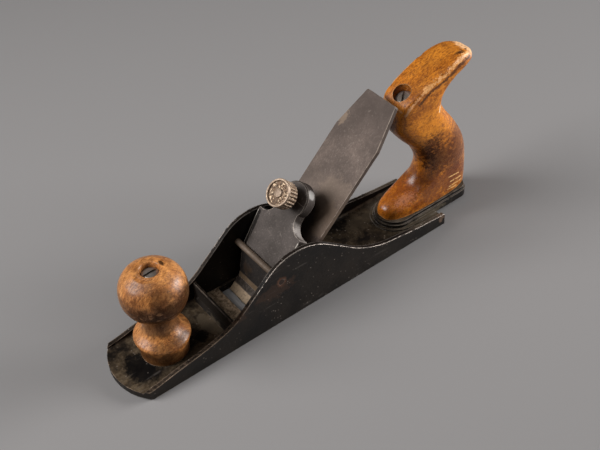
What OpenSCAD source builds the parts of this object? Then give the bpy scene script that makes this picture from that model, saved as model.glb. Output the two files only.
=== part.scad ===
// Scrub plane with a cast body, a turned front knob and an open rear tote.
// The cutter lies bevel down on a cast bed. A lever cap hooked under a cross rod holds it,
// and a thumb screw in the cap's upper end sets the pressure.
// Millimetres. The sole is the plane z = 0, the toe points to -X and the tote is at +X.
// The source works in stations: x counted from the toe's corners. The whole part is then
// moved so that the middle of the sole's length is the origin.

/* [Body casting] */
// Length of the sole from the toe's nose to the heel
sole_length = 241.3; // [238:0.1:246]
// Width over both cheeks
body_width = 48.5; // [47:0.1:54]
// How far the rounded toe runs ahead of its corners
toe_bulge = 9.4; // [6:0.2:12]
// Wall of the cheeks and side rails
cheek_wall = 2.8; // [2.6:0.1:3.2]
// Height of the side rails at toe and heel
rail_height = 8.7; // [8:0.1:10]
// Height of the cheeks at their crown
cheek_height = 52; // [50:0.5:56]
// Thickness of the floor between the rails
floor_thickness = 5; // [4:0.1:5.5]
// Height of the thin rib across the body ahead of the mouth
rib_height = 20; // [14:0.1:22]
// Thickness of that rib
rib_thickness = 2; // [1.8:0.1:3]
// Width of the mouth across the sole
mouth_width = 40.4; // [39.4:0.1:41.4]
// Front edge of the mouth, as a station
mouth_front = 77.5; // [76:0.5:80]

/* [Bed and cutter] */
// Angle of the bed above the sole
bed_angle = 44.6; // [43:0.1:46]
// Station where the cutter's front face meets the sole
cutter_station = 84.1; // [83:0.1:85]
// Width of the cutter
cutter_width = 38.1; // [36:0.1:38.4]
// Length of the cutter
cutter_length = 154.6; // [140:0.2:158]
// Thickness of the cutter
cutter_thickness = 3; // [2.4:0.1:3.2]
// Length of the cutter's tapered upper end
cutter_taper = 28; // [20:0.5:36]
// Width of the cutter at its top
cutter_top_width = 25.6; // [22:0.2:30]
// Radius of the crowned cutting edge
edge_radius = 260; // [160:5:400]
// Bevel of the cutting edge
edge_bevel = 28; // [25:1:32]

/* [Lever cap and rod] */
// Diameter of the cross rod
rod_diameter = 4.2; // [3.8:0.1:4.6]
// Distance of the rod's centre up the bed
rod_up = 32.8; // [32.4:0.1:33.4]
// Distance of the rod's centre from the cutter's face
rod_out = 16; // [15.8:0.1:16.6]
// Width of the cap at its lip
lip_width = 36.4; // [32:0.2:37]
// Width over the cap's two shoulders
shoulder_width = 40.2; // [38:0.1:40.6]
// Distance of the screw's axis up the bed
screw_up = 76.8; // [75:0.1:78]
// Diameter of the round boss that takes the screw
boss_diameter = 22.6; // [20:0.2:24]

/* [Thumb screw] */
// Diameter of the screw's shank
shank_diameter = 6.35; // [5.8:0.05:7]
// Diameter of the fluted head
head_diameter = 17.8; // [16:0.1:20]
// Height of the fluted head
head_height = 9.3; // [7:0.1:10]
// Flutes round the head
head_flutes = 24; // [18:1:28]

/* [Knob] */
// Station of the knob's axis
knob_station = 25.2; // [24:0.2:27]
// Diameter of the ball
knob_diameter = 40.1; // [36:0.1:42]
// Height of the knob
knob_height = 66.6; // [64:0.1:72]
// Diameter of the knob's foot at its rim
knob_rim_diameter = 34.3; // [32:0.1:36]

/* [Tote] */
// Thickness of the tote
tote_thickness = 24; // [21:0.5:25]
// Height of the pad under the tote
pad_height = 10.5; // [10:0.1:11]
// Station of the rounded end of the pad behind the heel
pad_end = 263.5; // [262.5:0.5:267]

/* [Hidden] */
half_width = body_width / 2;
inner_half = half_width - cheek_wall;
heel = sole_length - toe_bulge;
middle = sole_length / 2 - toe_bulge;
toe_radius = (half_width * half_width + toe_bulge * toe_bulge) / (2 * toe_bulge);
toe_ease = 1.2;
knob_bed = floor_thickness + 0.6;
knob_base = knob_bed + 0.9;
rib_front = 61.2;
mouth_back = 91.2;
rod_radius = rod_diameter / 2;
rod_gap = 0.06;
lip_start = 12;
lip_gap = 0.05;
cap_bend = 35;
boss_out = 19.4;
boss_under = 11.2;
head_out = 25.6;
stud_radius = 2.8;
fit = 0.04;
// The cap's face below the rod is a plane that just clears the rod
cap_ridge = [15.5, 2.2];
rod_reach = [rod_up, rod_out] - cap_ridge;
cap_slope = acos((rod_radius + rod_gap) / norm(rod_reach)) - atan(rod_reach[0] / rod_reach[1]);
cap_bend_point = [cap_bend, cap_ridge[1] + (cap_bend - cap_ridge[0]) * tan(cap_slope)];
tote_rod_top = [211.2, 104];
tote_rod_foot = [246, 10.5];
tote_lean = atan((tote_rod_foot[0] - tote_rod_top[0]) / (tote_rod_top[1] - tote_rod_foot[1]));
tote_rod_length = norm(tote_rod_foot - tote_rod_top);
// Cheek line: station, then the share of the rise from the rail to the crown
cheek_line = [
    [-4, -0.05], [6, -0.02], [20, 0.048], [40, 0.129], [60, 0.279], [77, 0.594], [94, 0.921], [110, 1],
    [125, 0.903], [141, 0.637], [157, 0.356], [174, 0.171], [190, 0.099], [211, 0.035],
];
// Tote loft: front of the section, back of the section, share of the thickness, squareness
tote_sections = [
    [[196.3, 10.5], [267.8, 10.5], 1, 2.9],
    [[197.4, 17], [268.6, 19], 1, 2.6],
    [[206, 21.6], [268.8, 30], 0.99, 2.2],
    [[219.4, 26.4], [267.2, 41], 0.98, 2.05],
    [[226.2, 35.5], [262.8, 52.5], 0.97, 2.1],
    [[226.6, 45], [254.5, 66], 0.96, 2.2],
    [[220.5, 57.5], [246, 77.5], 0.97, 2.4],
    [[210.5, 69], [240.3, 87.5], 0.98, 2.6],
    [[203.6, 80], [239.8, 97], 1, 3],
    [[202.8, 92.2], [243.4, 103.5], 1, 3.8],
    [[206.6, 101.8], [248.6, 108], 1, 5],
    [[221.6, 110.4], [253.6, 110.4], 1, 5],
    [[238, 117], [257.6, 112.2], 0.96, 5],
    [[250.8, 119.4], [261.2, 113], 0.84, 4],
    [[258.4, 118.6], [263.6, 114.2], 0.6, 3],
    [[261.8, 117.4], [264.4, 115.4], 0.35, 2.4],
];
$fn = 64;

// Points of an arc about a centre, both end angles included
function arc(centre, radius, from, to, steps) =
    [for (i = [0:steps]) let (a = from + (to - from) * i / steps)
        centre + radius * [cos(a), sin(a)]];

// One value of a smooth curve that passes through the values b and c
function blend(a, b, c, d, t) =
    0.5 * (2 * b + (c - a) * t + (2 * a - 5 * b + 4 * c - d) * t * t
        + (3 * b - a - 3 * c + d) * t * t * t);

// A smooth curve through a list of points, with some steps between each pair
function smooth(points, steps) =
    let (last = len(points) - 1)
    [for (i = [0:last - 1], k = [0:steps - 1])
        blend(points[max(i - 1, 0)], points[i], points[i + 1], points[min(i + 2, last)],
            k / steps),
     points[last]];

// A point on a rounded section: a circle at squareness 2, nearly a box at 6
function section_point(angle, square) =
    [sign(cos(angle)) * pow(abs(cos(angle)), 2 / square),
     sign(sin(angle)) * pow(abs(sin(angle)), 2 / square)];

// Height of the cap's upper face above the cutter, at a distance up the bed
function face_out(up) = cap_bend_point[1]
    + (boss_out - 0.1 - cap_bend_point[1]) * (up - cap_bend) / (screw_up - cap_bend);

// Puts what is drawn at stations into the part's own frame
module placed() {
    translate([-middle, 0, 0]) children();
}

// Puts what is drawn on the bed in place: x runs up the bed, z out of the cutter's face
module on_bed() {
    translate([cutter_station, 0, 0]) rotate([0, -bed_angle, 0]) children();
}

// Extrudes a side view, drawn as x and z, over a span of y
module side_plate(from, to) {
    translate([0, to, 0]) rotate([90, 0, 0]) linear_extrude(height = to - from) children();
}

// Everything in front of the rounded toe, with the ease along its underside
module toe_front() {
    translate([toe_radius - toe_bulge, 0, 0]) intersection() {
        rotate_extrude($fn = 240) polygon([[toe_radius - toe_ease - 1, -1],
            [toe_radius, toe_ease], [toe_radius, 30], [toe_radius + 30, 30],
            [toe_radius + 30, -1]]);
        translate([-toe_radius - 20, -half_width - 2, -2]) cube([40, body_width + 4, 40]);
    }
}

// Side view of a cheek with its rail
module cheek_view() {
    crown = [for (p = cheek_line)
        [p[0], rail_height + p[1] * (cheek_height - rail_height)]];
    polygon(concat([[-4, 0]], smooth(crown, 5),
        [[heel - 2.5, rail_height + 0.1]],
        arc([heel - 1.5, rail_height - 1.4], 1.5, 90, 0, 5),
        [[heel, 0]]));
}

// Concave corner between the floor and a cheek, as a section across the body
module corner_view(radius) {
    polygon(concat([[0, 0]],
        arc([radius, radius], radius, 270, 180, 6)));
}

// Plan of the tote's pad, which runs back past the heel as a tongue
module pad_plan(grow) {
    end = pad_end + grow * 0.3;
    wide = tote_thickness / 2 + grow;
    front = 207.6 + grow * 0.1;
    polygon(concat(
        arc([end - 7, wide - 7], 7, 0, 90, 8),
        arc([front, 0], wide, 90, 270, 24),
        arc([end - 7, 7 - wide], 7, 270, 360, 8)));
}

// Side view of the lower seat and of the rib that carries the bed's upper end
module seat_view() {
    along = [cos(bed_angle), sin(bed_angle)];
    out = [-sin(bed_angle), cos(bed_angle)];
    start = [cutter_station, 0] - (cutter_thickness + 0.05) * out;
    low = start + (mouth_back - start[0]) / cos(bed_angle) * along;
    lip = start + 17 * along;
    polygon([[mouth_back, 0], low, lip, lip - 3.2 * out + 0.6 * along, [lip[0] + 7, 0]]);
}

// Side view of the cross bar and its web under the cutter's upper part
module rest_view() {
    along = [cos(bed_angle), sin(bed_angle)];
    out = [-sin(bed_angle), cos(bed_angle)];
    start = [cutter_station, 0] - (cutter_thickness + 0.05) * out;
    from = start + 47 * along;
    to = start + 59 * along;
    web = (from[0] + to[0]) / 2 + 1.5;
    polygon([from, to, to - 4 * out, [web + 3, from[1] - 2.2], [web + 1.6, 2],
        [web - 1.6, 2], [web - 1.8, from[1] - 4.5], from - 3.4 * out]);
}

module sole_casting() color([0.13, 0.12, 0.11]) placed() difference() {
    union() {
        // Floor with the mouth through it, and the slightly higher bed under the knob
        difference() {
            translate([-toe_bulge - 1, -inner_half - 1, 0])
                cube([heel + toe_bulge + 1, 2 * inner_half + 2, floor_thickness]);
            translate([mouth_front, -mouth_width / 2, -1])
                cube([mouth_back + 6 - mouth_front, mouth_width, floor_thickness + 2]);
        }
        translate([-toe_bulge - 1, -inner_half - 0.8, 2])
            cube([rib_front + toe_bulge + 2, 2 * inner_half + 1.6, knob_bed - 2]);
        // Low round seat of the knob
        translate([knob_station, 0, knob_bed - 0.5]) cylinder(h = 1.4, r1 = 14.6, r2 = 14);
        // Cheeks
        for (side = [-1, 1])
            side_plate(side * (inner_half + half_width) / 2 - cheek_wall / 2,
                side * (inner_half + half_width) / 2 + cheek_wall / 2)
                cheek_view();
        // Rounded inside corners along both cheeks, ahead of the rib and behind the mouth
        for (side = [0, 1]) mirror([0, side, 0]) {
            translate([3, -inner_half, knob_bed]) rotate([90, 0, 90])
                linear_extrude(height = rib_front - 2) corner_view(2.4);
            translate([mouth_back + 8, -inner_half, floor_thickness]) rotate([90, 0, 90])
                linear_extrude(height = heel - mouth_back - 8) corner_view(3.2);
        }
        // Thin rib across the body, with a ledge that falls to the mouth
        side_plate(-inner_half - 0.5, inner_half + 0.5)
            polygon([[rib_front - 2.2, 2], [rib_front - 1, knob_bed + 1.2],
                [rib_front, knob_bed + 4], [rib_front, rib_height - 0.4],
                [rib_front + 0.4, rib_height], [rib_front + rib_thickness - 0.4, rib_height],
                [rib_front + rib_thickness, rib_height - 0.4],
                [rib_front + rib_thickness, knob_bed + 2.6],
                [rib_front + rib_thickness + 1.6, knob_bed + 0.8],
                [mouth_front - 6, floor_thickness + 0.2], [mouth_front - 3, 4.2],
                [mouth_front - 3, 2]]);
        // Sloped seat behind the mouth and cross bar higher up the bed
        side_plate(-inner_half - 0.5, inner_half + 0.5) seat_view();
        side_plate(-inner_half - 0.5, inner_half + 0.5) rest_view();
        // Pad of the tote in two steps, with the tongue behind the heel
        translate([0, 0, floor_thickness - 1]) linear_extrude(height = 2)
            intersection() {
                pad_plan(4.4);
                translate([0, -half_width]) square([heel - 0.6, body_width]);
            }
        translate([0, 0, 3]) linear_extrude(height = pad_height - 5.2) pad_plan(2.4);
        translate([0, 0, 3.6]) linear_extrude(height = pad_height - 3.6) pad_plan(1.3);
    }
    toe_front();
    // Holes of the cross rod, the knob's stud and the tote's rod
    on_bed() translate([rod_up, -half_width - 1, rod_out]) rotate([-90, 0, 0])
        cylinder(h = body_width + 2, r = rod_radius + fit);
    translate([knob_station, 0, 1.2]) cylinder(h = 20, r = stud_radius + fit);
    translate([tote_rod_foot[0], 0, tote_rod_foot[1]]) rotate([0, -tote_lean, 0])
        translate([0, 0, -6]) cylinder(h = 20, r = stud_radius + fit);
}

module cap_rod() color([0.33, 0.27, 0.22]) placed()
    on_bed() translate([rod_up, -half_width, rod_out]) rotate([-90, 0, 0])
        cylinder(h = body_width, r = rod_radius);

// Plate with a tapered top. A cone cuts its lower end to a crowned edge with the bevel below.
module cutter() color([0.36, 0.34, 0.33]) placed() on_bed() {
    start = 0.5;
    top = start + cutter_length;
    bevel_run = cutter_thickness / tan(edge_bevel);
    translate([0, 0, -cutter_thickness]) intersection() {
        linear_extrude(height = cutter_thickness)
            polygon([[start, -cutter_width / 2], [top - cutter_taper, -cutter_width / 2],
                [top - 0.8, -cutter_top_width / 2], [top, 0.8 - cutter_top_width / 2],
                [top, cutter_top_width / 2 - 0.8], [top - 0.8, cutter_top_width / 2],
                [top - cutter_taper, cutter_width / 2], [start, cutter_width / 2]]);
        translate([start + edge_radius, 0, 0])
            cylinder(h = cutter_thickness, r1 = edge_radius - bevel_run, r2 = edge_radius,
                $fn = 180);
    }
}

// Plan of the lever cap on the bed: lip, shoulders, hollow waist and round boss
module cap_plan() {
    lip = lip_width / 2;
    shoulder = shoulder_width / 2;
    half = concat(
        [[lip_start, lip - 0.6], [lip_start + 0.6, lip], [cap_bend, lip + 1.2],
         [57.5, shoulder]],
        arc([58.6, shoulder - 1.1], 1.1, 90, 0, 4),
        arc([68.2, shoulder - 2.3], 8.6, 180, 270, 10));
    polygon(concat(half, [[screw_up, 8.6]],
        [[screw_up, -8.6]], [for (i = [len(half) - 1:-1:0]) [half[i][0], -half[i][1]]]));
}

// Side view of the lever cap: its face rises steeply to the rod, then runs on to the boss
module cap_view() {
    polygon(concat(
        [[lip_start, lip_gap], [lip_start, 0.7], cap_ridge, cap_bend_point,
         [screw_up, boss_out - 0.1],
         [screw_up, boss_under + 0.6], [66, boss_under], [58, 9.8], [cap_bend, 7.8],
         [20, 0.9], [16.5, lip_gap]]));
}

// Everything outside a plane through three points; its outer side is the one with most y
module outside(a, b, c) {
    turned = cross(b - a, c - a);
    n = turned / norm(turned) * sign(turned[1]);
    translate(a) rotate([0, acos(n[2]), atan2(n[1], n[0])])
        translate([-60, -60, 0]) cube(120);
}

module lever_cap() color([0.3, 0.27, 0.25]) placed() on_bed() difference() {
    union() {
        intersection() {
            linear_extrude(height = 26) cap_plan();
            side_plate(-shoulder_width / 2, shoulder_width / 2) cap_view();
        }
        // Boss, its lower half cut along the cap's face
        intersection() {
            translate([screw_up, 0, 0]) rotate_extrude($fn = 96)
                polygon([[0, boss_under], [boss_diameter / 2 - 1.2, boss_under],
                    [boss_diameter / 2, boss_under + 1.2], [boss_diameter / 2, boss_out - 0.8],
                    [boss_diameter / 2 - 0.8, boss_out], [0, boss_out]]);
            side_plate(-boss_diameter, boss_diameter)
                polygon([[cap_bend, 0], cap_bend_point, [screw_up, boss_out - 0.1],
                    [screw_up + 2, boss_out + 2], [screw_up + 20, boss_out + 2],
                    [screw_up + 20, 0]]);
        }
    }
    // Hollow under the cap between its two side walls
    side_plate(3.4 - lip_width / 2, lip_width / 2 - 3.4)
        polygon([[22, -1], [56, -1], [55, 12.2], [cap_bend + 1, 10.6], [22, 2.6]]);
    // Bevels along both sides, widest at the rod and running out at the shoulders
    for (side = [0, 1]) mirror([0, side, 0])
        outside([57, shoulder_width / 2, face_out(57)],
            [33, lip_width / 2 - 3.6, face_out(33)],
            [33, lip_width / 2 + 1.1, face_out(33) - 2]);
    // Screw hole
    translate([screw_up, 0, 0]) cylinder(h = 40, r = shank_diameter / 2 + fit);
}

module cap_screw_shank() color([0.55, 0.5, 0.44]) placed() on_bed()
    translate([screw_up, 0, 0]) rotate_extrude()
        polygon([[0, lip_gap], [shank_diameter / 2 - 0.9, lip_gap],
            [shank_diameter / 2, lip_gap + 0.9], [shank_diameter / 2, head_out + 2.95],
            [0, head_out + 2.95]]);

module cap_screw_head() color([0.6, 0.52, 0.42]) placed() on_bed()
    translate([screw_up, 0, head_out]) {
        rim = head_diameter / 2;
        difference() {
            rotate_extrude($fn = 96)
                polygon([[0, 3], [shank_diameter / 2 + 0.02, 3], [shank_diameter / 2 + 0.02, 0],
                    [rim - 1.2, 0], [rim - 0.2, 1], [rim - 0.2, head_height - 1],
                    [rim, head_height - 0.8], [rim - 0.3, head_height], [rim - 1.3, head_height],
                    [rim - 1.7, head_height - 1.1], [3.1, head_height - 1.1],
                    [2.7, head_height - 0.3], [1.4, head_height], [0, head_height]]);
            // Flutes, stopped short of the rim
            for (i = [0:head_flutes - 1]) rotate(360 * i / head_flutes)
                translate([rim + 0.16, 0, -1]) cylinder(h = head_height - 0.3, r = 0.92);
        }
    }

module front_knob() color([0.62, 0.36, 0.16]) placed() translate([knob_station, 0, knob_base]) {
    ball = knob_diameter / 2;
    rim = knob_rim_diameter / 2;
    crown = knob_height - ball * 0.82;
    // Foot with its hollow upper side, neck and flattened ball, as radius and height
    turned = smooth([[rim - 2.6, 0], [rim - 1.9, 5], [rim - 0.5, 10.5], [rim - 0.1, 14.3],
        [rim - 1.4, 17.2], [rim - 4.8, 20.2], [rim - 7.4, 24.5], [rim - 7.8, 28.5],
        [ball * 0.56, crown - 16.9], [ball * 0.8, crown - 12], [ball * 0.96, crown - 5.8],
        [ball, crown + 0.4], [ball * 0.95, crown + 6.4], [ball * 0.79, crown + 11.8],
        [ball * 0.52, crown + 15.6]], 4);
    rotate_extrude($fn = 96) polygon(concat(
        [[3.1, 0]], turned,
        [[6.6, knob_height - 0.1], [5.7, knob_height - 0.9], [5.6, knob_height - 5.9],
         [4.1, knob_height - 5.9], [4.1, knob_height - 20], [3.1, knob_height - 20]]));
}

// Slotted nut: a head that fills its counterbore and a barrel that reaches down the wood
module slotted_nut(head_radius) {
    difference() {
        rotate_extrude() polygon([[0, -12], [3.9, -12], [3.9, 0], [head_radius, 0],
            [head_radius, 2.2], [head_radius - 1.6, 3.1], [0, 3.5]]);
        translate([0, 0, -13]) cylinder(h = 12.5, r = stud_radius + fit);
        translate([-8, -0.65, 2]) cube([16, 1.3, 4]);
    }
}

module knob_stud() color([0.4, 0.38, 0.36]) placed()
    translate([knob_station, 0, 1.3])
        cylinder(h = knob_base + knob_height - 6.8 - 1.3, r = stud_radius);

module knob_nut() color([0.5, 0.48, 0.45]) placed()
    translate([knob_station, 0, knob_base + knob_height - 5.8]) rotate(4) slotted_nut(5.2);

// Loft through the tote's sections, closed at the foot and at the tip of the horn
module tote_form() {
    around = 36;
    line = smooth([for (s = tote_sections)
        [s[0][0], s[0][1], s[1][0], s[1][1], s[2], s[3]]], 4);
    rings = len(line);
    points = [for (s = line, k = [0:around - 1])
        let (front = [s[0], s[1]], back = [s[2], s[3]],
            p = section_point(360 * k / around, s[5]),
            at = (front + back) / 2 + (back - front) / 2 * p[0])
        [at[0], s[4] * tote_thickness / 2 * p[1], at[1]]];
    sides = [for (i = [0:rings - 2], k = [0:around - 1])
        let (a = i * around + k, b = i * around + (k + 1) % around)
        each [[a, a + around, b], [b, a + around, b + around]]];
    polyhedron(points = points, faces = concat(sides,
        [[for (k = [0:around - 1]) k]],
        [[for (k = [around - 1:-1:0]) (rings - 1) * around + k]]));
}

module rear_tote() color([0.6, 0.33, 0.13]) placed() difference() {
    tote_form();
    translate([tote_rod_foot[0], 0, tote_rod_foot[1]]) rotate([0, -tote_lean, 0]) {
        translate([0, 0, -5]) cylinder(h = 130, r = 3.1);
        translate([0, 0, tote_rod_length - 22]) cylinder(h = 40, r = 4.1);
        translate([0, 0, tote_rod_length - 6.5]) cylinder(h = 40, r = 6);
    }
}

module tote_rod() color([0.4, 0.38, 0.36]) placed()
    translate([tote_rod_foot[0], 0, tote_rod_foot[1]]) rotate([0, -tote_lean, 0])
        translate([0, 0, -5.9]) cylinder(h = tote_rod_length - 1.5, r = stud_radius);

module tote_nut() color([0.45, 0.43, 0.4]) placed()
    translate([tote_rod_foot[0], 0, tote_rod_foot[1]]) rotate([0, -tote_lean, 0])
        translate([0, 0, tote_rod_length - 6.4]) rotate(35) slotted_nut(5.6);

sole_casting();
cap_rod();
cutter();
lever_cap();
cap_screw_shank();
cap_screw_head();
front_knob();
knob_stud();
knob_nut();
rear_tote();
tote_rod();
tote_nut();
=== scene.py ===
"""Scrub plane: worn black casting, steel cutter and rubbed beech, dressed over the fixed frame.

Everything is in metres unless a name ends in _mm. The sole is the plane z = 0, the toe points
to -X and the tote stands at +X. Sizes of the wooden and threaded pieces are given in
millimetres at stations, counted from the toe's corners, and moved into the frame at the end.
"""

import logging
import math
from dataclasses import dataclass
from enum import Enum

import bpy
import numpy as np
from mathutils import Matrix, Vector


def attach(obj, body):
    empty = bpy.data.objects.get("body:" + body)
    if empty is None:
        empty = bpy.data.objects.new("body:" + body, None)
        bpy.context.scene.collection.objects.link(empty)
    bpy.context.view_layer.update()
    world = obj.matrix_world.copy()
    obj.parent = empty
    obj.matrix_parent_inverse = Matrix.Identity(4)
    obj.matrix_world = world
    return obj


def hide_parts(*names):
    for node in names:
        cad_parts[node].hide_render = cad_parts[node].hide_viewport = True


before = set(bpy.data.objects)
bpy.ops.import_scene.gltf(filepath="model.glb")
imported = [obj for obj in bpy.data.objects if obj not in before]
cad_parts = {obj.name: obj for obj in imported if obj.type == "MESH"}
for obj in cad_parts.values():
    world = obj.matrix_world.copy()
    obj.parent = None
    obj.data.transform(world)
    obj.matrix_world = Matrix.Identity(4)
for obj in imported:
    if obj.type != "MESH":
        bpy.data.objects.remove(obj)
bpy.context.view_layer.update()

LOG = logging.getLogger("scrub_plane")
MM = 0.001
MIDDLE_MM = 111.25
CUTTER_STATION_MM = 84.1
SCREW_UP_MM = 76.8
BED_ANGLE = math.radians(44.6)
BED_ALONG = (math.cos(BED_ANGLE), 0.0, math.sin(BED_ANGLE))
BED_NORMAL = (-math.sin(BED_ANGLE), 0.0, math.cos(BED_ANGLE))
SHARP_DEGREES = 42.0
Pair = tuple[float, float]
Triple = tuple[float, float, float]
Colour = Triple
Points = np.ndarray


class Axis(Enum):
    """Long direction of the fibres in a wooden piece."""

    UPRIGHT = (1.0, 1.0, 0.1)
    ALONG = (0.12, 1.0, 1.0)


class Wear(Enum):
    """How heavily the sharp edges of a finish are rubbed: gain, cover."""

    LIGHT = (3.0, 0.42)
    MEDIUM = (5.0, 0.5)
    WOOD = (9.0, 0.5)
    HEAVY = (9.0, 0.62)


# Numpy surfaces


def to_frame(points_mm: Points) -> Points:
    """Moves points from stations in millimetres into the frame in metres.

    Args:
        points_mm: Rows of x, y, z at stations.

    Returns:
        The same rows in the frame.
    """
    return (np.asarray(points_mm, float) - [MIDDLE_MM, 0.0, 0.0]) * MM


def bed_to_frame(points_mm: Points) -> Points:
    """Turns rows of (up the bed, across, out of the cutter's face) into the frame.

    Formula: start + up * along + across * Y + out * normal of the bed.

    Args:
        points_mm: Rows in the bed's own directions.

    Returns:
        The same rows in the frame, in metres.
    """
    at = np.asarray(points_mm, float) @ np.array([BED_ALONG, (0.0, 1.0, 0.0), BED_NORMAL])
    return to_frame(at + [CUTTER_STATION_MM, 0.0, 0.0])


def bed_line(points_mm: Points) -> tuple[Triple, ...]:
    """The corners of a line on the bed.

    Args:
        points_mm: Rows in the bed's own directions.

    Returns:
        A tuple in the frame for each row.
    """
    return tuple(map(tuple, bed_to_frame(points_mm)))


def smooth_line(knots: Points, steps: int) -> Points:
    """A curve through all knots, made of cubic pieces that share their slopes.

    Formula: for the four knots a, b, c, d about a piece, the point at t is half of
    2b + (c - a)t + (2a - 5b + 4c - d)t^2 + (3b - a - 3c + d)t^3.

    Args:
        knots: Rows of any width.
        steps: Points for each piece between two knots.

    Returns:
        The rows of the curve, the last knot included.
    """
    rows = np.asarray(knots, float)
    ends = np.vstack([rows[:1], rows, rows[-1:]])
    a, b, c, d = (ends[i : len(rows) - 1 + i, None, :] for i in range(4))
    t = (np.arange(steps) / steps)[None, :, None]
    square, cube = 2 * a - 5 * b + 4 * c - d, 3 * b - a - 3 * c + d
    line = 0.5 * (2 * b + (c - a) * t + square * t**2 + cube * t**3)
    return np.vstack([line.reshape(-1, rows.shape[1]), rows[-1:]])


def grid_quads(rows: int, columns: int, close_rows: bool) -> Points:
    """Corner numbers of the faces between the points of a grid that closes along its rows.

    Args:
        rows: Number of rows of points.
        columns: Number of points in a row.
        close_rows: Joins the last row to the first.

    Returns:
        Rows of four corner numbers.
    """
    r = np.arange(rows if close_rows else rows - 1)[:, None]
    c = np.arange(columns)[None, :]
    up, right = (r + 1) % rows, (c + 1) % columns
    corners = [r * columns + c, r * columns + right, up * columns + right, up * columns + c]
    return np.stack(corners, -1).reshape(-1, 4)


def end_caps(rows: int, columns: int) -> list[list[int]]:
    """Corner numbers of the two faces that close the ends of such a grid.

    Args:
        rows: Number of rows of points.
        columns: Number of points in a row.

    Returns:
        The face over the first row and the one over the last.
    """
    return [list(range(columns - 1, -1, -1)), list(range((rows - 1) * columns, rows * columns))]


def face_out(obj: bpy.types.Object) -> None:
    """Turns a closed mesh's faces outwards if its signed volume is negative.

    Formula: six times the volume is the sum over the triangles of a . (b x c).

    Args:
        obj: The object whose mesh is tested.
    """
    mesh = obj.data
    mesh.calc_loop_triangles()
    corners = np.empty(len(mesh.loop_triangles) * 3, np.int64)
    mesh.loop_triangles.foreach_get("vertices", corners)
    place = np.empty(len(mesh.vertices) * 3)
    mesh.vertices.foreach_get("co", place)
    a, b, c = place.reshape(-1, 3)[corners].reshape(-1, 3, 3).transpose(1, 0, 2)
    if (a * np.cross(b, c)).sum() < 0:
        mesh.flip_normals()


def make_mesh(name: str, points: Points, quads: Points, caps: list[list[int]] | None = None,
              sharp: float = SHARP_DEGREES) -> bpy.types.Object:
    """Puts arrays into a mesh, smooth except at edges sharper than an angle.

    One with caps is closed, and its faces are turned outwards.

    Args:
        name: Name of the object.
        points: Rows of x, y, z in metres.
        quads: Rows of four corner numbers.
        caps: Faces with more corners that close open ends.
        sharp: Angle in degrees from which an edge stays sharp.

    Returns:
        The new object, at the origin.
    """
    mesh = bpy.data.meshes.new(name)
    mesh.from_pydata(points.tolist(), [], quads.tolist() + (caps or []))
    mesh.validate()
    mesh.update(calc_edges=True)
    mesh.shade_smooth()
    mesh.set_sharp_from_angle(angle=math.radians(sharp))
    obj = bpy.data.objects.new(name, mesh)
    bpy.context.scene.collection.objects.link(obj)
    if caps:
        face_out(obj)
    return obj


def outward(points: Points, rows: int, columns: int) -> Points:
    """Unit normals of a grid that closes along its rows.

    Formula: the cross product of the differences along the columns and along the rows.

    Args:
        points: Rows of x, y, z, one grid row after the other.
        rows: Number of grid rows.
        columns: Number of points in a grid row.

    Returns:
        One unit vector for each point.
    """
    net = points.reshape(rows, columns, 3)
    along = np.gradient(net, axis=0)
    around = np.roll(net, -1, 1) - np.roll(net, 1, 1)
    normal = np.cross(around, along)
    length = np.linalg.norm(normal, axis=-1, keepdims=True)
    return (normal / np.maximum(length, 1e-12)).reshape(-1, 3)


def press_in(points: Points, normals: Points, centres: Points, reach: Points,
             depth: Points) -> Points:
    """Presses soft dents into a surface.

    Formula: each point moves against its normal by the sum over all dents of
    depth * exp(-(distance / reach)^2).

    Args:
        points: Rows of x, y, z.
        normals: Unit normals of the points.
        centres: Middle of each dent.
        reach: Radius of each dent.
        depth: Depth of each dent.

    Returns:
        The moved points.
    """
    gap = np.linalg.norm(points[:, None, :] - centres[None, :, :], axis=-1)
    push = (depth * np.exp(-((gap / reach) ** 2))).sum(1)
    return points - normals * push[:, None]


def revolve(profile: Points, around: int) -> Points:
    """Turns a profile about the z axis: x = r cos(a), y = r sin(a), z = height.

    Args:
        profile: Rows of radius and height.
        around: Points in one turn.

    Returns:
        The points, one turn after the other.
    """
    a = np.linspace(0.0, 2 * math.pi, around, endpoint=False)
    r, z = profile[:, :1], profile[:, 1:]
    net = np.stack([r * np.cos(a), r * np.sin(a), z + 0 * a], -1)
    return net.reshape(-1, 3)


# Node trees


class Value:
    """An output in a node tree; plain formulas on it add Math nodes."""

    def __init__(self, graph: "Graph", socket: bpy.types.NodeSocket) -> None:
        """Keeps the graph and the socket that gives the value."""
        self.graph = graph
        self.socket = socket

    def __add__(self, other: object) -> "Value":
        """The sum with a value or a number."""
        return self.graph.maths("ADD", self, other)

    def __sub__(self, other: object) -> "Value":
        """The value less another."""
        return self.graph.maths("SUBTRACT", self, other)

    def __rsub__(self, other: object) -> "Value":
        """A number less the value."""
        return self.graph.maths("SUBTRACT", other, self)

    def __mul__(self, other: object) -> "Value":
        """The product with a value or a number."""
        return self.graph.maths("MULTIPLY", self, other)

    def __abs__(self) -> "Value":
        """The value without its sign."""
        return self.graph.maths("ABSOLUTE", self)

    def held(self) -> "Value":
        """The result of the last formula, held between 0 and 1."""
        self.socket.node.use_clamp = True
        return self


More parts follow.
